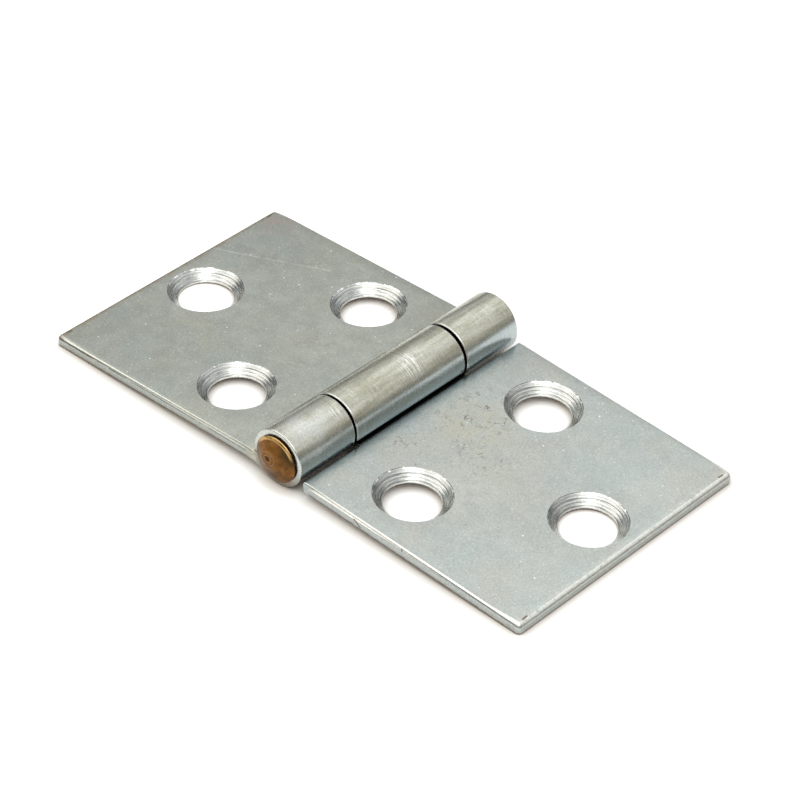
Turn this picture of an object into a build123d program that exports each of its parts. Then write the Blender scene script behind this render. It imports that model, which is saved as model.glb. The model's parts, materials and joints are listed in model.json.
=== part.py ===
from build123d import *
import os
from math import asin, atan2, degrees, hypot

# Flap hinge of pressed steel sheet: two countersunk leaves, rolled into knuckles round one riveted pin.
# The barrel runs along Y. The origin is on the ground under the barrel's middle. The hinge lies open
# as it comes to rest, on the barrel and on both outer edges, so that its leaves slope down a little.
# Each leaf is drawn flat, with the barrel's axis at (0, 0), and is swung down to the ground last.

# Leaves
leaf_length = 40.2  # along the barrel
leaf_width = 39.65  # from the barrel's axis to the outer edge
sheet = 1.5
corner_round = 0.8  # corners of the outer edge, seen from above
upper_round = 0.45  # edges of the upper face, drawn down by the punch
lower_round = 0.15  # edges of the lower face, broken by the tumbling before the plating

# Rolled barrel
barrel_radius = 4.0
leaf_drop = 1.0  # from the barrel's axis down to the leaf's upper face
bend_reach = 1.5  # from the barrel to where the sheet starts to dip under the pin
curl_lift = 0.12  # how far above the leaf's upper face the roll's free end stops
middle_knuckle = 20.0
near_gap = 0.35  # between the near knuckle and the middle one
far_gap = 0.45
notch_clearance = 0.45  # from the barrel to the notch's edge in the other leaf
knuckle_chamfer = 0.25  # ends of the knuckles at the two joints

# Pin
pin_clearance = 0.05  # on the radius, in the bore of the roll
head_overlap = 0.75  # how far the riveted head covers the knuckle's end, past the bore
head_edge = 0.4  # height of the head at its rim
head_crown = 0.55  # how far the crown rises above the rim
head_flat = 0.9  # radius of the flat that the riveting tool leaves in the middle

# Screw holes, countersunk for flat-headed screws
rim_radius = 5.08
land = 0.15  # straight wall left below the cone
inner_row = 15.1  # from the barrel's axis to the two holes beside it
inner_spread = 24.4  # between those two holes
outer_margin = 6.75  # from the single hole to the outer edge
hole_shift = 0.3  # how far all the holes sit from the leaf's middle, towards the far end

# What follows from the sizes above
bore_radius = barrel_radius - sheet
middle_radius = barrel_radius - sheet / 2
middle_drop = leaf_drop + sheet / 2
bend_start = barrel_radius + bend_reach
bend_radius = (bend_start**2 + middle_drop**2 - middle_radius**2) / (2 * (middle_radius - middle_drop))
bend_turn = degrees(asin(bend_start / (bend_radius + middle_radius)))
roll_start = bend_turn - 90
roll_end = -degrees(asin((leaf_drop - curl_lift) / barrel_radius)) - 360
notch_edge = barrel_radius + notch_clearance
hole_radius = rim_radius - (sheet - land)
lower_face = leaf_drop + sheet
leaf_slope = degrees(asin(barrel_radius / hypot(leaf_width, lower_face)) - atan2(lower_face, leaf_width))


def rolled_sheet():
    """The whole blank: flat, then a soft dip below the axis, then the roll that comes over and down."""
    bend_centre = (bend_start, -(middle_drop + bend_radius))
    roll_turn = roll_end - roll_start
    with BuildPart() as blank:
        with BuildSketch(Plane.XZ):
            with BuildLine():
                upper = CenterArc(bend_centre, bend_radius + sheet / 2, 90, bend_turn)
                under = CenterArc(bend_centre, bend_radius - sheet / 2, 90, bend_turn)
                bore = CenterArc((0, 0), bore_radius, roll_start, roll_turn)
                barrel = CenterArc((0, 0), barrel_radius, roll_start, roll_turn)
                Line(bore @ 1, barrel @ 1)
                Polyline(upper @ 0, (leaf_width, -leaf_drop), (leaf_width, -leaf_drop - sheet), under @ 0)
            make_face()
        extrude(amount=leaf_length / 2, both=True)
    return blank.part


def notch(low_y, high_y):
    """The room that one leaf leaves for a knuckle of the other."""
    reach = barrel_radius + notch_edge
    depth = 4 * barrel_radius
    centre = (notch_edge - reach / 2, (low_y + high_y) / 2, 0)
    return Pos(*centre) * Box(reach, high_y - low_y, depth)


def screw_holes():
    """Three holes as one tool: a cone that leaves a thin land at the leaf's lower face."""
    outer = (leaf_width - outer_margin, hole_shift)
    inner = [(inner_row, hole_shift + side * inner_spread / 2) for side in (-1, 1)]
    with BuildPart(Plane.XY.offset(-leaf_drop)) as tool:
        with Locations(outer, *inner):
            with Locations((0, 0, -(sheet - land) / 2)):
                Cone(hole_radius, rim_radius, sheet - land)
            Cylinder(hole_radius, 4 * sheet)
    return tool.part


def joint_end(edge):
    """Whether an edge is an arc round a knuckle's end at one of the two joints."""
    on_barrel = edge.geom_type == GeomType.CIRCLE and abs(edge.radius - barrel_radius) < near_gap / 10
    return on_barrel and abs(edge.center().Y) < (middle_knuckle + leaf_length) / 4


def softened(part):
    """Rounds the outer corners and the edges of both faces, and breaks the knuckles' edges at the joints."""
    part = part.fillet(corner_round, part.edges().filter_by(Axis.Z).group_by(Axis.X)[-1])
    for face, radius in ((-1, upper_round), (0, lower_round)):
        outer_edges = part.edges().filter_by(Axis.Y).group_by(Axis.X)[-1].sort_by(Axis.Z)
        part = part.fillet(radius, [outer_edges[face]])
    return part.chamfer(knuckle_chamfer, None, part.edges().filter_by(joint_end))


def leaf(rooms):
    """A leaf from the barrel's axis towards +X, notched where the rooms are."""
    part = rolled_sheet()
    for low_y, high_y in rooms:
        part = part - notch(low_y, high_y)
    return softened(part) - screw_holes()


def swung(part):
    """Swings a leaf down about the barrel's axis until its outer edge is on the ground."""
    return Pos(0, 0, barrel_radius) * Rot(0, leaf_slope, 0) * part


def riveted_pin():
    """The pin, turned about its own axis: a plain shank with a low cone-shaped riveted head at each end."""
    half = leaf_length / 2
    shank = bore_radius - pin_clearance
    head = bore_radius + head_overlap
    rim = half + head_edge
    top = rim + head_crown
    upper_half = [(0, top), (head_flat, top), (head, rim), (head, half), (shank, half)]
    lower_half = [(x, -y) for x, y in reversed(upper_half)]
    with BuildPart() as pin:
        with BuildSketch(Plane.XY):
            with BuildLine():
                Polyline(*upper_half, *lower_half, close=True)
            make_face()
        revolve(axis=Axis.Y)
    return Pos(0, 0, barrel_radius) * pin.part


half_middle = middle_knuckle / 2
half_length = leaf_length / 2

end_knuckle_leaf = mirror(swung(leaf([(-half_middle - near_gap, half_middle + far_gap)])), about=Plane.YZ)
middle_knuckle_leaf = swung(leaf([(-half_length, -half_middle), (half_middle, half_length)]))

os.makedirs("parts", exist_ok=True)
export_step(end_knuckle_leaf, "parts/end_knuckle_leaf.step")
export_step(middle_knuckle_leaf, "parts/middle_knuckle_leaf.step")
export_step(riveted_pin(), "parts/hinge_pin.step")
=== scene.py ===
import bpy
import bmesh
import json
from math import asin, atan2, ceil, cos, hypot, pi, radians, sin
from mathutils import Matrix, Quaternion, Vector


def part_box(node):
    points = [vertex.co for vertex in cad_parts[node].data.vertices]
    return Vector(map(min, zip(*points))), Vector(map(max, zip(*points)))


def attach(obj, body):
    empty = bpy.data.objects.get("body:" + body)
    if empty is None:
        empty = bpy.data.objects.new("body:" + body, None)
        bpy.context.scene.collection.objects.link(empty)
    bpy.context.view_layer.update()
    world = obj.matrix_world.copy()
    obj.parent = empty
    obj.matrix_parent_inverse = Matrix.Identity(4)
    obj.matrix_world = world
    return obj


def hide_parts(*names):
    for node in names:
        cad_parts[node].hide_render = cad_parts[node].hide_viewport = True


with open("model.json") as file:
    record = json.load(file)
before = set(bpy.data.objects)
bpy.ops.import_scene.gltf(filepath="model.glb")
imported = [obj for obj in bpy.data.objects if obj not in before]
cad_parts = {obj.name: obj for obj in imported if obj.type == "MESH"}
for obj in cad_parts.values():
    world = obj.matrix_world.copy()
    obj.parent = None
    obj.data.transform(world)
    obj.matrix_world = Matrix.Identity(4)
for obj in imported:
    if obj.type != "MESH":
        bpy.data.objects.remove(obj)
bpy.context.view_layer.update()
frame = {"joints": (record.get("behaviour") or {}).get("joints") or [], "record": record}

# Camera: a long lens from the front right, a little tilted, as the photograph was taken.
# It aims at the barrel's axis, just right of the hinge's middle.
camera_azimuth = radians(40.87)
camera_elevation = radians(38.22)
camera_tilt = radians(2.776)
camera_distance = 0.43528
camera_lens = 155.94
aim = Vector((0.00174, 0.00023, 0.00277))


def direction(azimuth, elevation):
    """Unit vector towards an azimuth, counted from the front (-Y) to the right (+X), and an elevation."""
    return Vector((sin(azimuth) * cos(elevation), -cos(azimuth) * cos(elevation), sin(elevation)))


back = direction(camera_azimuth, camera_elevation)
camera = bpy.data.objects.new("camera", bpy.data.cameras.new("camera"))
camera.data.lens = camera_lens
camera.data.sensor_width = 36
camera.data.clip_start = 0.01
camera.location = aim + camera_distance * back
camera.rotation_mode = "QUATERNION"
camera.rotation_quaternion = (-back).to_track_quat("-Z", "Y") @ Quaternion((0, 0, 1), camera_tilt)
bpy.context.scene.collection.objects.link(camera)
bpy.context.scene.camera = camera

# Table: one large white board that fades into the light background and keeps the hinge's soft shadow.
# Close under the metal a painted shadow darkens it warm, and nearly black where the metal shuts it in.
board_size = 1.2
board_white = (0.93, 0.93, 0.93)
board_painted_shadow = (0.42, 0.35, 0.28)
board_painted_black_shadow = (0.03, 0.025, 0.02)
board_glow = (0.015, 0.012, 0.01)
painted_shadow_reach = 0.0018  # how far off metal still darkens the board
shut_in = (0.24, 0.1)  # openness where the dark starts, and where it is full


def new_material(name):
    """A material with an empty node tree: the material, the tree and its output."""
    material = bpy.data.materials.new(name)
    material.use_nodes = True
    tree = material.node_tree
    tree.nodes.clear()
    return material, tree, tree.nodes.new("ShaderNodeOutputMaterial")


def node(tree, kind, settings=None, **inputs):
    """Adds a node. An input given as a socket is joined, any other is set.

    A colour is given as red, green and blue."""
    made = tree.nodes.new("ShaderNode" + kind)
    for key, value in (settings or {}).items():
        setattr(made, key, value)
    for key, value in inputs.items():
        socket = made.inputs[int(key[1:])] if key[0] == "_" else made.inputs[key.replace("_", " ")]
        if isinstance(value, bpy.types.NodeSocket):
            tree.links.new(value, socket)
        elif socket.type == "RGBA":
            socket.default_value = (*value, 1)
        else:
            socket.default_value = value
    return made


def calc(tree, operation, a, b=0.0):
    """One step of arithmetic on two values."""
    return node(tree, "Math", {"operation": operation}, _0=a, _1=b).outputs[0]


def between(tree, value, low, high, most=1.0):
    """Rises softly from 0 at low to most at high. Low may be the larger one."""
    soft = {"interpolation_type": "SMOOTHSTEP"}
    return node(tree, "MapRange", soft, Value=value, From_Min=low, From_Max=high, To_Max=most).outputs[0]


def tinted(tree, amount, under, over):
    """Lays one colour over another by an amount."""
    return node(tree, "Mix", {"data_type": "RGBA"}, _0=amount, _6=under, _7=over).outputs[2]


def solid(name, bm):
    """An object in the scene from a bmesh."""
    piece = bpy.data.objects.new(name, bpy.data.meshes.new(name))
    bm.to_mesh(piece.data)
    bm.free()
    bpy.context.scene.collection.objects.link(piece)
    return piece


white_board, tree, output = new_material("white_board")
rays = node(tree, "LightPath").outputs
seen = calc(tree, "MAXIMUM", rays["Is Camera Ray"], rays["Is Glossy Ray"])
seen = calc(tree, "MAXIMUM", seen, rays["Is Transmission Ray"])
# painted shadow: the board's colour turns warm near metal and nearly black where the metal shuts it in
openness = node(tree, "AmbientOcclusion", Distance=painted_shadow_reach).outputs["AO"]
paper_with_painted_shadow = tinted(tree, openness, board_painted_shadow, board_white)
paper_with_painted_shadow = tinted(tree, between(tree, openness, *shut_in), paper_with_painted_shadow, board_painted_black_shadow)
matt = node(tree, "BsdfDiffuse", Color=paper_with_painted_shadow).outputs[0]
lift = node(tree, "Emission", Color=board_glow, Strength=seen).outputs[0]
tree.links.new(node(tree, "AddShader", _0=matt, _1=lift).outputs[0], output.inputs["Surface"])

bm = bmesh.new()
bmesh.ops.create_grid(bm, x_segments=1, y_segments=1, size=board_size)
board = solid("white_board", bm)
board.data.materials.append(white_board)

# Light: a white tent round the hinge, dark where it opens low down, with soft panels behind its cloth.
# The panels at the front are a little warmer than the large one that hangs above and behind.
# A panel is its azimuth, elevation, inner and outer edge in degrees, and its colour at full strength.
panels = [
    (214, 79.5, 40, 87, (0.985, 1.0, 1.015)),
    (36, 54, 12, 50, (0.85, 0.83, 0.78)),
    (38, 53, 8, 26, (1.6, 1.58, 1.5)),
    (193, 52, 12, 26, (0.5, 0.5, 0.5)),
    (315, 40, 8, 34, (1.35, 1.28, 1.15)),
    (268, 48, 8, 34, (0.3, 0.3, 0.29)),
    (125, 20, 8, 45, (0.26, 0.25, 0.22))]
tent_level = (0.04, 0.04, 0.04)


def moved(tree, operation, a, b=(0, 0, 0)):
    """One step of arithmetic on two places or directions."""
    return node(tree, "VectorMath", {"operation": operation}, _0=a, _1=b).outputs[0]


def scaled(tree, place, size):
    """A place or direction, times a size."""
    return node(tree, "VectorMath", {"operation": "SCALE"}, _0=place, Scale=size).outputs[0]


def measured(tree, operation, a, b=(0, 0, 0)):
    """The length, distance or dot product of places."""
    return node(tree, "VectorMath", {"operation": operation}, _0=a, _1=b).outputs["Value"]


tent = bpy.data.worlds.new("tent")
tent.use_nodes = True
tree = tent.node_tree
tree.nodes.clear()
towards = moved(tree, "NORMALIZE", node(tree, "TexCoord").outputs["Generated"])
glow = tent_level
for azimuth, elevation, inner, outer, colour in panels:
    nearness = measured(tree, "DOT_PRODUCT", towards, direction(radians(azimuth), radians(elevation)))
    share = between(tree, nearness, cos(radians(outer)), cos(radians(inner)))
    glow = moved(tree, "ADD", scaled(tree, colour, share), glow)
cloth = node(tree, "Background", Color=glow)
tree.links.new(cloth.outputs[0], node(tree, "OutputWorld").inputs["Surface"])
bpy.context.scene.world = tent

# Leaves: zinc-plated steel sheet, punched to shape, with knuckles rolled from strips of the same sheet.
# A strip dips under the pin's axis, rolls up and over the pin, and its end stops at the leaf's face.
# The holes are countersunk almost through it, and the open leaf leans from the barrel down to the table.
sheet = 0.0015
corner_round = 0.0007
leaf_drop = 0.001  # from the pin's axis down to the leaf's upper face
bend_reach = 0.0015  # from the barrel to where the sheet starts to dip
curl_lift = 0.00012  # how far above the leaf's face the roll stops
notch_clearance = 0.00045
half_middle = 0.01  # half of the middle knuckle's length
near_gap = 0.00035
far_gap = 0.00045
barrel_radius = frame["joints"][0]["pos_m"][2]
bore_radius = barrel_radius - sheet
bend_start = barrel_radius + bend_reach
half_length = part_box("end_knuckle_leaf")[1][1]
mounts = {mount["name"]: mount for mount in frame["record"]["mounts"]}
lean = asin(abs(mounts["end_knuckle_leaf_back"]["axis"][0]))
leaf_width = (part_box("middle_knuckle_leaf")[1][0] + leaf_drop * sin(lean)) / cos(lean)
near_knuckle = (-half_length, -half_middle - near_gap)
middle_knuckle = (-half_middle, half_middle)
far_knuckle = (half_middle + far_gap, half_length)

# the rounded edges: the shoulder that the punch draws down at the outer end, and shares of it elsewhere
shoulder = 0.00075
side_share = 0.42
notch_share = 0.2
lower_share = 0.16
knuckle_share = 0.33
bore_share = 0.15
rim_break = 0.00004

# the countersinks, and how far each ring of the cutter stands out in millimetres
land = mounts["end_knuckle_leaf_outer_screw"]["dims"]["length_mm"] / 1000
hole_radius = mounts["end_knuckle_leaf_outer_screw"]["dims"]["r_mm"] / 1000
rim_radius = hole_radius + sheet - land
tool_rings = [0.0, 0.012, 0.0, -0.014, 0.006, 0.004, -0.012, 0.0,
              0.016, 0.002, -0.016, 0.008, 0.0, -0.01, 0.01, 0.0]
tool_room = 0.0005
wall_slack = 0.0001  # how far inside the hole a face still counts as turned

roll_step = radians(4)
merge_gap = 1e-7
roll_fade = (bend_start + 0.0002, 0.001)  # where the drawn steel of the roll ends, and over what width
marks = ("depth", "shear", "roll", "outer_end")


def settle(piece):
    """Turns a piece's modifiers into mesh, and returns it as a bmesh."""
    bpy.context.view_layer.update()
    shaped = piece.evaluated_get(bpy.context.evaluated_depsgraph_get())
    mesh = bpy.data.meshes.new_from_object(shaped)
    piece.modifiers.clear()
    piece.data = mesh
    bm = bmesh.new()
    bm.from_mesh(mesh)
    return bm


def rolled_strip(strips):
    """The leaf's middle surface: flat, dip and roll. Strips are the knuckles' stretches along the pin."""
    middle_radius = barrel_radius - sheet / 2
    middle_drop = leaf_drop + sheet / 2
    bend_span = bend_start**2 + middle_drop**2 - middle_radius**2
    bend_radius = bend_span / (2 * (middle_radius - middle_drop))
    bend_turn = asin(bend_start / (bend_radius + middle_radius))
    notch_turn = asin((bend_reach - notch_clearance) / bend_radius)
    roll_turn = 1.5 * pi + bend_turn + asin((leaf_drop - curl_lift) / barrel_radius)
    bm = bmesh.new()
    stops = sorted({-half_length, half_length, *[end for strip in strips for end in strip]})
    row = [bm.verts.new((leaf_width, y, -middle_drop)) for y in stops]
    edges = [bm.edges.new(pair) for pair in zip(row, row[1:])]
    flat = bmesh.ops.extrude_edge_only(bm, edges=edges)["geom"]
    inner_row = [part for part in flat if isinstance(part, bmesh.types.BMVert)]
    bmesh.ops.translate(bm, verts=inner_row, vec=(bend_start - leaf_width, 0, 0))
    bmesh.ops.bevel(bm, geom=[row[0], row[-1]], offset=corner_round, affect="VERTICES",
                    segments=8, profile=0.5, material=-1)
    inner = [edge for edge in bm.edges if all(abs(v.co.x - bend_start) < merge_gap for v in edge.verts)]
    bend_centre = (bend_start, 0, -middle_drop - bend_radius)
    for turn in (notch_turn, bend_turn - notch_turn):
        spun = bmesh.ops.spin(bm, geom=inner, cent=bend_centre, axis=(0, 1, 0), angle=-turn,
                              steps=ceil(turn / roll_step))
        inner = [part for part in spun["geom_last"] if isinstance(part, bmesh.types.BMEdge)]
        middles = {edge: (edge.verts[0].co.y + edge.verts[1].co.y) / 2 for edge in inner}
        inner = [edge for edge in inner if any(low < middles[edge] < high for low, high in strips)]
    bmesh.ops.spin(bm, geom=inner, cent=(0, 0, 0), axis=(0, 1, 0), angle=roll_turn,
                   steps=ceil(roll_turn / roll_step))
    bmesh.ops.remove_doubles(bm, verts=bm.verts, dist=merge_gap)
    bmesh.ops.recalc_face_normals(bm, faces=bm.faces)
    return bm


def shoulder_share(edge):
    """How much of the shoulder an edge of the thick sheet is rounded by."""
    if len(edge.link_faces) < 2 or edge.calc_face_angle() < radians(50):
        return 0
    x, y, z = (edge.verts[0].co + edge.verts[1].co) / 2
    if x <= barrel_radius + notch_clearance:
        return knuckle_share if hypot(x, z) > barrel_radius - sheet / 2 else bore_share
    if z <= -leaf_drop - sheet / 2:
        return lower_share
    if x > leaf_width - corner_round:
        return 1
    return side_share if abs(y) > half_length - corner_round else notch_share


def countersink_tool(place):
    """A turned cutter: thin land, cone with the rings that its edge leaves, and room above the sheet."""
    outline = [(0, -sheet - tool_room), (hole_radius, -sheet - tool_room)]
    for step, ring in enumerate(tool_rings):
        share = step / (len(tool_rings) - 1)
        x = hole_radius + (rim_radius - hole_radius) * share
        z = land - sheet + (sheet - land) * share
        outline.append((x + ring / 1000, z - ring / 1000))
    outline += [(rim_radius + tool_room, tool_room), (0, tool_room)]
    bm = bmesh.new()
    corners = [bm.verts.new((x, 0, z)) for x, z in outline]
    edges = [bm.edges.new(pair) for pair in zip(corners, corners[1:])]
    bmesh.ops.spin(bm, geom=edges, cent=(0, 0, 0), axis=(0, 0, 1), angle=2 * pi, steps=96, use_merge=True)
    bmesh.ops.remove_doubles(bm, verts=bm.verts, dist=merge_gap)
    bmesh.ops.recalc_face_normals(bm, faces=bm.faces)
    bmesh.ops.translate(bm, verts=bm.verts, vec=(*place, -leaf_drop))
    return solid("countersink_tool", bm)


def hole_places(node_name):
    """The three screw holes of a leaf lying flat: distance from the pin's axis, and place along it."""
    outer, inner = mounts[node_name + "_outer_screw"], mounts[node_name + "_inner_screws"]
    flat = [(abs(x) * cos(lean) - (z - barrel_radius) * sin(lean), y)
            for x, y, z in (outer["pos_m"], inner["pos_m"])]
    inner_x, inner_y = flat[1]
    spread = inner["dims"]["pcd_mm"] / 2000
    return [flat[0], (inner_x, inner_y - spread), (inner_x, inner_y + spread)]


def mark_surface(bm, holes):
    """Stores what the finish needs: depth below the leaf's face in millimetres and in shoulders,
    where the sheet is rolled, where it is the outer end, and a map round the turned walls."""
    depth, shear, roll, outer_end = [bm.verts.layers.float.new(mark) for mark in marks]
    for v in bm.verts:
        at_end = leaf_width - v.co.x < half_length - abs(v.co.y)
        below = -(v.co.z + leaf_drop) if v.co.x > bend_start else 0
        v[depth] = below * 1000
        v[shear] = below / (shoulder if at_end else side_share * shoulder)
        v[roll] = min(1, max(0, (roll_fade[0] - v.co.x) / roll_fade[1]))
        v[outer_end] = float(at_end)
    turned = bm.loops.layers.uv.new("turned")
    cone_width = rim_radius - hole_radius
    for face in bm.faces:
        middle = face.calc_center_median()
        for x, y in holes:
            ring = hypot(middle.x - x, middle.y - y) - hole_radius
            if -wall_slack < ring < cone_width and abs(face.normal.z) < 0.9:
                start = atan2(middle.y - y, middle.x - x)
                for loop in face.loops:
                    spot = loop.vert.co - Vector((x, y, 0))
                    swing = (atan2(spot.y, spot.x) - start + pi) % (2 * pi) - pi
                    wall = (hypot(spot.x, spot.y) - hole_radius) / cone_width
                    loop[turned].uv = ((start + swing) / (2 * pi), 1 + wall)


def leaf(node_name, side, strips):
    """A leaf with its sheet's thickness, rounded edges and countersunk holes, swung down to the table."""
    piece = solid(node_name.replace("_leaf", "_sheet"), rolled_strip(strips))
    thick = piece.modifiers.new("thickness", "SOLIDIFY")
    thick.thickness = sheet
    thick.offset = 0
    thick.use_even_offset = True
    bm = settle(piece)
    weights = bm.edges.layers.float.new("bevel_weight_edge")
    for edge in bm.edges:
        edge[weights] = shoulder_share(edge)
    bm.to_mesh(piece.data)
    bm.free()
    soft = piece.modifiers.new("soft_edges", "BEVEL")
    soft.width = shoulder
    soft.segments = 5
    soft.limit_method = "WEIGHT"
    settle(piece).free()
    holes = hole_places(node_name)
    tools = [countersink_tool(place) for place in holes]
    for tool in tools:
        cut = piece.modifiers.new("hole", "BOOLEAN")
        cut.object = tool
        cut.solver = "EXACT"
    bm = settle(piece)
    for tool in tools:
        bpy.data.objects.remove(tool)
    mark_surface(bm, holes)
    bmesh.ops.rotate(bm, verts=bm.verts, cent=(0, 0, 0), matrix=Matrix.Rotation(lean, 3, "Y"))
    bmesh.ops.translate(bm, verts=bm.verts, vec=(0, 0, barrel_radius))
    if side < 0:
        bmesh.ops.scale(bm, verts=bm.verts, vec=(-1, 1, 1))
        bmesh.ops.reverse_faces(bm, faces=bm.faces)
    bm.to_mesh(piece.data)
    bm.free()
    piece.data.shade_smooth()
    rims = piece.modifiers.new("rim_edges", "BEVEL")
    rims.width = rim_break
    rims.segments = 2
    rims.limit_method = "ANGLE"
    rims.angle_limit = radians(35)
    rims.harden_normals = True
    return piece


# the finish of the leaves: its paints, red, green and blue
hair_brown = (0.13, 0.1, 0.07)
drawn_dark = (0.33, 0.325, 0.25)
drawn_light = (0.475, 0.472, 0.405)
# a cool painted reflection of the leaf on the roll's lower flank
flank_painted_reflection = (0.4, 0.455, 0.46)
rubbed_bright = (0.68, 0.68, 0.64)
ring_pale = (0.55, 0.56, 0.53)
ring_dark_below = (0.25, 0.22, 0.17)
joint_black = (0.015, 0.015, 0.015)
# painted shade, near black, for the seam and under the near knuckle
seam_painted_shade = (0.02, 0.02, 0.02)
shoulder_painted_highlight = (0.84, 0.83, 0.77)
crease_dark = (0.09, 0.085, 0.07)
edge_foot_brown = (0.14, 0.11, 0.08)
nick_brown = (0.16, 0.13, 0.09)
cut_dark = (0.21, 0.22, 0.21)
cut_light = (0.64, 0.65, 0.63)
torn_dark = (0.1, 0.1, 0.1)
torn_bright = (0.9, 0.9, 0.88)
land_pale = (0.6, 0.59, 0.56)

# where they lie on the roll and its ends, in metres, from none to all of the paint
flank_reflection_height = (barrel_radius + 0.0024, barrel_radius + 0.0014)
flank_reflection_across = (0.002, 0.003)
knuckle_end = (0.0003, 0.0001)
ring_height = (barrel_radius + 0.001, barrel_radius - 0.003)
rolled_reach = (barrel_radius + 0.0002, barrel_radius + 0.00005)
joint_face = (barrel_radius - 0.0001, barrel_radius - 0.0002)
joint_along = (half_length - 0.001, half_length - 0.002)
seam_across = (barrel_radius - 0.0006, barrel_radius - 0.0003, barrel_radius, barrel_radius + 0.0004)
seam_height = (barrel_radius - 0.0007, barrel_radius - 0.0009)
under_height = (barrel_radius - 0.0007, barrel_radius - 0.0011)
under_along = (-half_middle, -half_middle - 0.0002)

# where they lie on the punched edges, in shoulders below the face: from, all, all, none
side_shine = (0.0, 0.04, 0.34, 0.5)
end_shine = (0.0, 0.04, 0.2, 0.5)
crease = (0.95, 1.05, 1.4, 1.6)

# specks of dust and pits: cells per metre, how rare, how large, and how light
specks = [(850, 0.8, 0.12, 0.95), (2300, 0.76, 0.24, 0.66), (430, 0.87, 0.06, 0.16)]

# torn rings of the turned walls: start and stop in millimetres below the face, and how dark
torn_rings = [(0.46, 0.5, 0.5), (1.2, 1.26, 0.6), (0.0, 0.04, 0.6)]
ring_fade = 0.04


def noise(tree, place, scale, detail=2, roughness=0.5):
    """Cloudy pattern of that many clouds per metre."""
    clouds = node(tree, "TexNoise", Vector=place, Scale=scale, Detail=detail, Roughness=roughness)
    return clouds.outputs["Fac"]


def product(tree, *shares):
    """Several shares multiplied: 1 only where every one is 1."""
    made = shares[0]
    for share in shares[1:]:
        made = calc(tree, "MULTIPLY", made, share)
    return made


def total(tree, *values):
    """Several values added up."""
    made = values[0]
    for value in values[1:]:
        made = calc(tree, "ADD", made, value)
    return made


def rest_of(tree, share):
    """1 where a share is 0."""
    return calc(tree, "SUBTRACT", 1.0, share)


def band(tree, value, low, rise, fall, high):
    """1 from rise to fall, fading out to 0 at low and at high."""
    return product(tree, between(tree, value, low, rise), between(tree, value, high, fall))


def painted(tree, colour, paint, *shares):
    """Lays a paint over a colour by the product of its shares."""
    return tinted(tree, product(tree, *shares), colour, paint)


def toned(steel, red, green, blue):
    """The steel's colour with each channel turned up or down."""
    return (steel[0] * red, steel[1] * green, steel[2] * blue)


def near_line(tree, place, start, end, width):
    """1 on a straight mark from start to end, fading out over its width in millimetres."""
    start, end = Vector(start), Vector(end)
    length = (end - start).length
    along = (end - start) / length
    offset = moved(tree, "SUBTRACT", place, start)
    reach = measured(tree, "DOT_PRODUCT", offset, along)
    reach = calc(tree, "MINIMUM", calc(tree, "MAXIMUM", reach, 0.0), length)
    gap = measured(tree, "DISTANCE", offset, scaled(tree, along, reach))
    return between(tree, gap, width / 1000, 0.3 * width / 1000)


def near_spot(tree, place, centre, radius):
    """1 at a place, fading out to its radius in millimetres."""
    return between(tree, measured(tree, "DISTANCE", place, centre), radius / 1000, 0.2 * radius / 1000)


def from_axis(tree, across, up):
    """Distance from the pin's axis."""
    spot = node(tree, "CombineXYZ", X=across, Y=calc(tree, "SUBTRACT", up, barrel_radius)).outputs[0]
    return measured(tree, "LENGTH", spot)


def on_face(x, y):
    """The place on a leaf's upper face: signed distance from the pin, and along it, in millimetres."""
    reach = abs(x) / 1000
    height = barrel_radius - reach * sin(lean) - leaf_drop * cos(lean)
    return ((reach * cos(lean) - leaf_drop * sin(lean)) * (1 if x > 0 else -1), y / 1000, height)


def on_side(x, below):
    """The place on a leaf's near side: signed distance from the pin, and depth, in millimetres."""
    x, y, z = on_face(x, -half_length * 1000)
    return (x, y, z - below / 1000)


def on_barrel(turn, y):
    """The place on the barrel: degrees from straight up towards +X, and millimetres along it."""
    return (barrel_radius * sin(radians(turn)), y / 1000, barrel_radius * (1 + cos(radians(turn))))


def corner_nicks(side):
    """Small marks beside the corners of a leaf's outer edge."""
    return [(on_face(side * 38.9, y), on_face(side * 38.95, 1.04 * y), 0.16, nick_brown, 1.6)
            for y in (-18.1, 18.1)]


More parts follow.
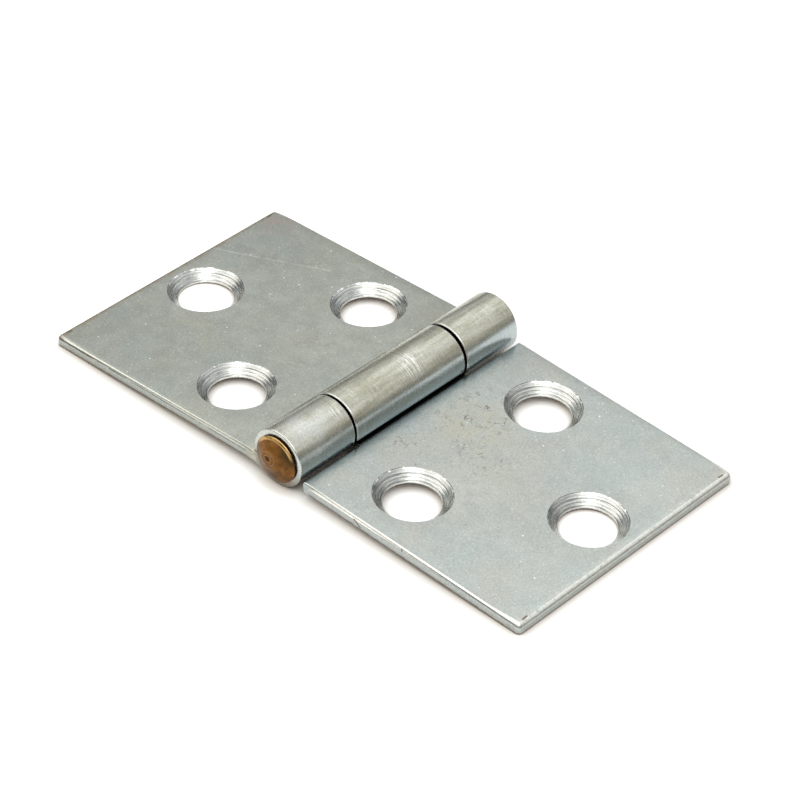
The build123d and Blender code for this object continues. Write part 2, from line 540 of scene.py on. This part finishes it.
def plated_steel(name, side, steel, ends, shoulder_highlight_share, end_wear_and_highlight, outer_band_wear_and_highlight, creased, stains, scratches,
                 rubbed, crazed):
    """Dull zinc on cold-rolled sheet: mottled and specked, with painted highlights on the shoulders, turned
    holes and a roll.

    Steel is the plating's colour, and ends are where the knuckles end along the pin. Shoulder_highlight_share
    and creased are shares, end_wear_and_highlight is a colour and its share, and
    outer_band_wear_and_highlight a width, a colour and its share. The lists give each mark's place or places,
    its size in millimetres, its colour and its share."""
    material, tree, output = new_material(name)
    place = node(tree, "TexCoord").outputs["Object"]
    across, along, up = node(tree, "SeparateXYZ", Vector=place).outputs
    out = product(tree, across, float(side))
    reach = from_axis(tree, across, up)
    depth, shear, roll, outer_end = [node(tree, "Attribute", {"attribute_name": mark}).outputs["Fac"]
                                     for mark in marks]
    turned = node(tree, "UVMap", {"uv_map": "turned"}).outputs[0]
    swept, rise, _ = node(tree, "SeparateXYZ", Vector=turned).outputs
    cloud = noise(tree, place, 420, 4, 0.6)
    tone = noise(tree, place, 160)
    grain = noise(tree, place, 4200, 3, 0.75)
    breaks = noise(tree, place, 1300, 3, 0.6)

    # the plating, mottled, a little yellower in places and a little bluer in others
    dull, light = [toned(steel, share, share, share) for share in (0.94, 1.06)]
    colour = tinted(tree, between(tree, cloud, 0.35, 0.65), dull, light)
    colour = painted(tree, colour, toned(steel, 1.06, 1.0, 0.93), between(tree, tone, 0.5, 0.72, 0.5))
    colour = painted(tree, colour, toned(steel, 0.93, 1.01, 1.05), between(tree, tone, 0.5, 0.3, 0.4))

    # hair-fine brown marks, crazed and broken up
    drift = scaled(tree, node(tree, "TexNoise", Vector=place, Scale=600).outputs["Color"], 0.0022)
    drifted = moved(tree, "ADD", place, drift)
    cracks = node(tree, "TexVoronoi", {"feature": "DISTANCE_TO_EDGE"}, Vector=drifted, Scale=620)
    hair = product(tree, between(tree, cracks.outputs["Distance"], 0.05, 0.02),
                   between(tree, breaks, 0.5, 0.56))
    for centre, radius, share in crazed:
        colour = painted(tree, colour, hair_brown, hair, near_spot(tree, place, centre, radius), share)

    # specks of zinc dust, and small dark pits
    flat = rest_of(tree, roll)
    for cells, rarity, size, grey in specks:
        dust = node(tree, "TexVoronoi", Vector=place, Scale=cells).outputs
        picked = node(tree, "SeparateColor", Color=dust["Color"]).outputs[0]
        picked = between(tree, picked, rarity, rarity + 0.02)
        colour = painted(tree, colour, (grey, grey, 0.97 * grey), picked,
                         between(tree, dust["Distance"], size, size / 2, 0.8), flat)

    # the roll: drawn beige by the dies, with a cool painted reflection of the leaf low down towards the
    # swinging leaf, rubbed bright in places
    rubs = noise(tree, node(tree, "Mapping", Vector=place, Scale=(0.06, 1, 0.06)).outputs[0], 5200, 2, 0.6)
    streaks = noise(tree, node(tree, "Mapping", Vector=place, Scale=(1, 0.12, 1)).outputs[0], 1100, 3, 0.65)
    drawn = tinted(tree, between(tree, streaks, 0.33, 0.67), drawn_dark, drawn_light)
    drawn = painted(tree, drawn, flank_painted_reflection, between(tree, up, *flank_reflection_height),
                    between(tree, across, *flank_reflection_across))
    rubbing = between(tree, rubs, 0.55, 0.68, 0.3)
    for centre, radius in rubbed:
        rub = product(tree, near_spot(tree, place, centre, radius), between(tree, rubs, 0.5, 0.56))
        rubbing = calc(tree, "MAXIMUM", rubbing, rub)
    drawn = painted(tree, drawn, rubbed_bright, rubbing)

    # the knuckles' ends: a band pale at the top and darker towards the bottom, and near black on their faces
    # inside the joints
    at_end = 0.0
    for end in ends:
        gap = calc(tree, "ABSOLUTE", calc(tree, "SUBTRACT", along, end))
        at_end = calc(tree, "MAXIMUM", at_end, between(tree, gap, *knuckle_end))
    rolled = between(tree, reach, *rolled_reach)
    knuckle_end_band = product(tree, at_end, rolled)
    ring = tinted(tree, between(tree, up, *ring_height), ring_pale, ring_dark_below)
    drawn = painted(tree, drawn, ring, knuckle_end_band, 0.8)
    inside = between(tree, calc(tree, "ABSOLUTE", along), *joint_along)
    drawn = painted(tree, drawn, joint_black, inside, at_end, between(tree, reach, *joint_face))
    colour = tinted(tree, roll, colour, drawn)
    for centre, radius, shade, share in stains:
        spot = near_spot(tree, place, centre, radius)
        colour = painted(tree, colour, shade, spot, between(tree, cloud, 0.3, 0.6, share))

    # painted shade, near black, in the seam where the roll's free end stops above the leaf, and under the
    # barrel's near end
    seam = product(tree, band(tree, out, *seam_across), between(tree, up, *seam_height),
                   rest_of(tree, at_end))
    under = product(tree, between(tree, up, *under_height), between(tree, along, *under_along),
                    roll, rolled, rest_of(tree, knuckle_end_band))
    colour = painted(tree, colour, seam_painted_shade, calc(tree, "MAXIMUM", seam, under), 0.85)

    # the punched edges: a painted highlight on the shoulders, cool sheared side, broken dark crease, brown
    # darkening lowest down
    colour = painted(tree, colour, shoulder_painted_highlight, band(tree, shear, *side_shine), rest_of(tree, outer_end),
                     shoulder_highlight_share)
    # the outer end's shoulder: a painted highlight on the right leaf, a brown edge on the left
    end_colour, end_share = end_wear_and_highlight
    colour = painted(tree, colour, end_colour, band(tree, shear, *end_shine),
                     between(tree, breaks, 0.3, 0.5, end_share), outer_end)
    # a band of the face along the outer end: a painted highlight on the right leaf, rubbed brown on the left
    outer_band_width, outer_band_colour, outer_band_share = outer_band_wear_and_highlight
    brink = leaf_width * cos(lean) - shoulder
    colour = painted(tree, colour, outer_band_colour, between(tree, out, brink - outer_band_width / 1000, brink),
                     between(tree, breaks, 0.35, 0.6, outer_band_share), between(tree, shear, 0.02, 0.0))
    above_back = between(tree, depth, 1.498, 1.48)
    colour = painted(tree, colour, toned(steel, 1.05, 1.07, 1.13), above_back,
                     between(tree, shear, 0.7, 1.2, 0.8))
    ragged_shear = total(tree, shear, product(tree, breaks, 0.5))
    colour = painted(tree, colour, crease_dark, band(tree, ragged_shear, *crease),
                     between(tree, cloud, 0.35, 0.5, creased))
    # brown darkening along the lowest part of each punched side
    ragged_depth = total(tree, depth, product(tree, breaks, 0.3))
    colour = painted(tree, colour, edge_foot_brown, between(tree, ragged_depth, 1.3, 1.55, 0.85), above_back)
    for start, end, width, shade, share in scratches:
        line = near_line(tree, place, start, end, width)
        colour = painted(tree, colour, shade, line, between(tree, cloud, 0.25, 0.55, share))

    # the turned walls of the holes: chatter round the cone, torn rings, a pale land and a torn bright rim
    wall = between(tree, rise, 0.9, 0.98)
    sweep = node(tree, "CombineXYZ", X=product(tree, swept, 3.5), Y=product(tree, rise, 9.0)).outputs[0]
    chatter = noise(tree, sweep, 2.4, 4, 0.8)
    cut = tinted(tree, between(tree, chatter, 0.38, 0.62), cut_dark, cut_light)
    torn = total(tree, depth, product(tree, calc(tree, "SUBTRACT", chatter, 0.5), 0.4))
    for start, stop, share in torn_rings:
        ring = band(tree, torn, start, start + ring_fade, stop, stop + ring_fade)
        cut = painted(tree, cut, torn_dark, ring, share)
    cut = painted(tree, cut, land_pale, between(tree, depth, 1.36, 1.4))
    cut = painted(tree, cut, torn_bright, between(tree, breaks, 0.52, 0.6), between(tree, depth, 0.2, 0.12))
    colour = tinted(tree, wall, colour, cut)

    # grain over everything, dents in the sheared sides, and a gloss that is keener on the roll and the walls
    shaded = tinted(tree, between(tree, grain, 0.3, 0.7), (0.86, 0.86, 0.86), (1.14, 1.14, 1.14))
    grained = node(tree, "Mix", {"data_type": "RGBA", "blend_type": "MULTIPLY"}, _0=1.0, _6=colour, _7=shaded)
    dented = product(tree, between(tree, shear, 0.5, 1.2), breaks, 4.0, above_back)
    relief = total(tree, product(tree, grain, 0.5), product(tree, cloud, 0.6), product(tree, roll, rubs, 0.5),
                   product(tree, wall, chatter, 4.0), dented)
    bump = node(tree, "Bump", Strength=0.35, Distance=0.00001, Height=relief)
    dullness = total(tree, between(tree, cloud, 0.3, 0.7, 0.08), product(tree, roll, -0.04),
                     product(tree, wall, -0.13), 0.27)
    shader = node(tree, "BsdfPrincipled", Base_Color=grained.outputs[2], Metallic=1.0,
                  Roughness=dullness, Normal=bump.outputs[0])
    tree.links.new(shader.outputs[0], output.inputs["Surface"])
    return material


# Left leaf: the two end knuckles, a calm plating given a slightly darker colour as painted shade, and an
# outer edge rubbed brown.
# One long scratch runs in from its outer edge.
left = leaf("end_knuckle_leaf", -1, [near_knuckle, far_knuckle])
# its steel colour is darkened against the right leaf's as painted shade
left_steel = plated_steel(
    "plated_steel_left", -1, steel=(0.363, 0.378, 0.337), ends=(*near_knuckle, *far_knuckle),
    shoulder_highlight_share=0.28, end_wear_and_highlight=((0.28, 0.21, 0.13), 0.9), outer_band_wear_and_highlight=(0.45, (0.33, 0.28, 0.2), 1.0), creased=0.95,
    stains=[(on_face(-37, 18), 4, (0.38, 0.33, 0.29), 0.8),
            (on_face(-12, 2), 9, (0.42, 0.43, 0.38), 0.5),
            (on_barrel(20, -16), 5, (0.56, 0.57, 0.55), 0.7),
            (on_face(-39.4, -19.9), 1.8, (0.27, 0.23, 0.17), 0.9)],
    scratches=[(on_face(-39, 7.7), on_face(-23.9, 14.6), 0.14, (0.5, 0.52, 0.48), 0.9), *corner_nicks(-1)],
    rubbed=[(on_barrel(26, -11.8), 1.3)],
    crazed=[])
left.data.materials.append(left_steel)
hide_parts("end_knuckle_leaf")
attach(left, "fixed_leaf")

# Right leaf: the long middle knuckle, a plating paler than the left leaf's shaded copy, with crazed brown
# marks beside the barrel.
# Its punched near side carries a painted highlight on its shoulder and is nicked in two places.
right = leaf("middle_knuckle_leaf", 1, [middle_knuckle])
right_steel = plated_steel(
    "plated_steel_right", 1, steel=(0.4, 0.42, 0.39), ends=middle_knuckle,
    shoulder_highlight_share=0.9, end_wear_and_highlight=(shoulder_painted_highlight, 0.5), outer_band_wear_and_highlight=(0.65, (0.6, 0.59, 0.54), 0.25), creased=0.2,
    stains=[(on_face(12, 3), 8, (0.44, 0.43, 0.36), 0.8),
            (on_face(22, -3), 9, (0.43, 0.43, 0.38), 0.5),
            (on_face(6, -2), 3, (0.36, 0.4, 0.41), 0.6),
            (on_face(19, -6.5), 6, (0.46, 0.47, 0.43), 0.8)],
    scratches=[(on_side(13, 0.5), on_side(14, 1.15), 0.13, nick_brown, 1.8), *corner_nicks(1),
               (on_side(20.7, 0.05), on_side(20.85, 0.5), 0.13, nick_brown, 1.6)],
    rubbed=[(on_barrel(27, 2.2), 3.2)],
    crazed=[(on_face(10.3, 4.8), 8, 0.95), (on_face(7, -4), 6, 0.5), (on_face(16.5, -1), 5, 0.65)])
right.data.materials.append(right_steel)
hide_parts("middle_knuckle_leaf")
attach(right, "swinging_leaf")

# Pin: a soft copper-coloured rivet, its two ends spread into low heads by the riveting tool.
# The tool has left an off-centre pip with a raised ring round it, and rims that are a little ragged.
pin_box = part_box("hinge_pin")
head_radius = (pin_box[1][2] - pin_box[0][2]) / 2
pin_end = pin_box[1][1]
shank_radius = bore_radius - 0.00005  # a little room in the bore
rim_height = half_length + 0.0004  # from the hinge's middle to the rim's upper edge
rim_depth = 0.00015  # how far in from its edge the rim is ragged
raggedness = 0.012
pip_shift = 0.0008  # off the axis, towards the left leaf
swirl_pitch = 0.0005

# the head's outline in millimetres: radius and depth below the crown, radius and height above the rim,
# and then the way in from the full radius and the height above the knuckle's end
pip_outline = [(0, 0.16), (0.16, 0.14), (0.3, 0.02), (0.45, 0),
               (0.9, 0.01), (1.15, 0.08), (1.25, 0.04), (1.4, 0.12)]
cone_outline = [(2.2, 0.25), (2.8, 0.13)]
rim_outline = [(0.12, 0.4), (0, 0.3), (0.02, 0.14), (0.1, 0.05)]
outline = [(radius / 1000, pin_end - down / 1000) for radius, down in pip_outline]
outline += [(radius / 1000, rim_height + rise / 1000) for radius, rise in cone_outline]
outline += [(head_radius - inwards / 1000, half_length + rise / 1000) for inwards, rise in rim_outline]
outline += [(shank_radius, half_length), (shank_radius, 0)]

copper_dark = (0.112, 0.048, 0.012)
copper_light = (0.205, 0.089, 0.021)
copper_glint = (0.42, 0.24, 0.09)
swirl_dark = (0.12, 0.055, 0.016)
swirl_bright = (0.45, 0.26, 0.1)
pip_dark = (0.06, 0.03, 0.01)
dark_patch_brown = (0.045, 0.028, 0.01)
rim_painted_highlight = (0.62, 0.4, 0.16)
seat_painted_shade = (0.025, 0.015, 0.008)

# dark patches of the near head, the large upper one a painted dark reflection: across and up from the axis,
# radius in millimetres, and share
head_dark_patches = [(2.6, 2.1, 2.9, 1.0), (-0.2, -2.4, 1.2, 0.4)]

bm = bmesh.new()
corners = [bm.verts.new((radius, y, 0)) for radius, y in outline]
edges = [bm.edges.new(pair) for pair in zip(corners, corners[1:])]
bmesh.ops.spin(bm, geom=edges, cent=(0, 0, 0), axis=(0, 1, 0), angle=2 * pi, steps=72, use_merge=True)
bmesh.ops.remove_doubles(bm, verts=bm.verts, dist=merge_gap)
for v in bm.verts:
    reach = hypot(v.co.x, v.co.z)
    if v.co.y > (half_length + rim_height) / 2:
        v.co.x -= pip_shift * max(0, 1 - (reach / head_radius)**1.5)
    if reach > head_radius - rim_depth and v.co.y > half_length:
        turn = atan2(v.co.z, v.co.x)
        bite = (1 + sin(7 * turn + 1)) * (1 + sin(11 * turn)) / 4
        v.co.xz = v.co.xz * (1 - raggedness * bite)
mirrored = bmesh.ops.duplicate(bm, geom=bm.verts[:] + bm.edges[:] + bm.faces[:])["geom"]
far_end = [part for part in mirrored if isinstance(part, bmesh.types.BMVert)]
bmesh.ops.scale(bm, verts=far_end, vec=(1, -1, 1))
bmesh.ops.remove_doubles(bm, verts=bm.verts, dist=merge_gap)
bmesh.ops.recalc_face_normals(bm, faces=bm.faces)
bmesh.ops.translate(bm, verts=bm.verts, vec=(0, 0, barrel_radius))
pin = solid("riveted_pin", bm)
pin.data.shade_smooth()

copper, tree, output = new_material("riveted_copper")
place = node(tree, "TexCoord").outputs["Object"]
across, along, up = node(tree, "SeparateXYZ", Vector=place).outputs
cloud = noise(tree, place, 900, 4, 0.65)
grain = noise(tree, place, 5200, 3, 0.7)
colour = tinted(tree, between(tree, cloud, 0.35, 0.65), copper_dark, copper_light)
colour = painted(tree, colour, copper_glint, between(tree, grain, 0.6, 0.8, 0.4))
from_pip = measured(tree, "DISTANCE", place, (-pip_shift, -pin_end, barrel_radius))
wavy = total(tree, from_pip, product(tree, cloud, 0.0007))
swirl = product(tree, calc(tree, "SINE", product(tree, wavy, 2 * pi / swirl_pitch)),
                between(tree, from_pip, 0.002, 0.0007))
colour = painted(tree, colour, swirl_dark, between(tree, swirl, 0.3, 1.0, 0.4))
colour = painted(tree, colour, swirl_bright, between(tree, swirl, -0.3, -1.0, 0.35))
colour = painted(tree, colour, pip_dark, between(tree, from_pip, 0.0006, 0.0003, 0.8))
# dark patches on the head; the large upper one is a painted dark reflection
for x, z, radius, share in head_dark_patches:
    darkened_patch = near_spot(tree, place, (x / 1000, 0.0005 - pin_end, barrel_radius + z / 1000), radius)
    colour = painted(tree, colour, dark_patch_brown, darkened_patch, between(tree, cloud, 0.1, 0.35, share))
# a painted highlight along the upper half of the head's rim
rim_line = between(tree, from_axis(tree, across, up), head_radius - 0.0005, head_radius - 0.0003)
upper_half = between(tree, up, barrel_radius + 0.001, barrel_radius + 0.002, 0.7)
colour = painted(tree, colour, rim_painted_highlight, rim_line, upper_half)
# painted shade, near black, on the head's side down to where it sits on the knuckle
seat = between(tree, calc(tree, "ABSOLUTE", along), rim_height - 0.00006, rim_height - 0.00022)
colour = painted(tree, colour, seat_painted_shade, seat)
relief = total(tree, cloud, product(tree, grain, 0.4), product(tree, swirl, 0.3))
bump = node(tree, "Bump", Strength=0.5, Distance=0.00002, Height=relief)
shader = node(tree, "BsdfPrincipled", Base_Color=colour, Metallic=1.0,
              Roughness=between(tree, cloud, 0.2, 0.8, 0.5), Normal=bump.outputs[0])
tree.links.new(shader.outputs[0], output.inputs["Surface"])
pin.data.materials.append(copper)
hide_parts("hinge_pin")
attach(pin, "fixed_leaf")

bpy.context.scene.view_settings.view_transform = "Standard"
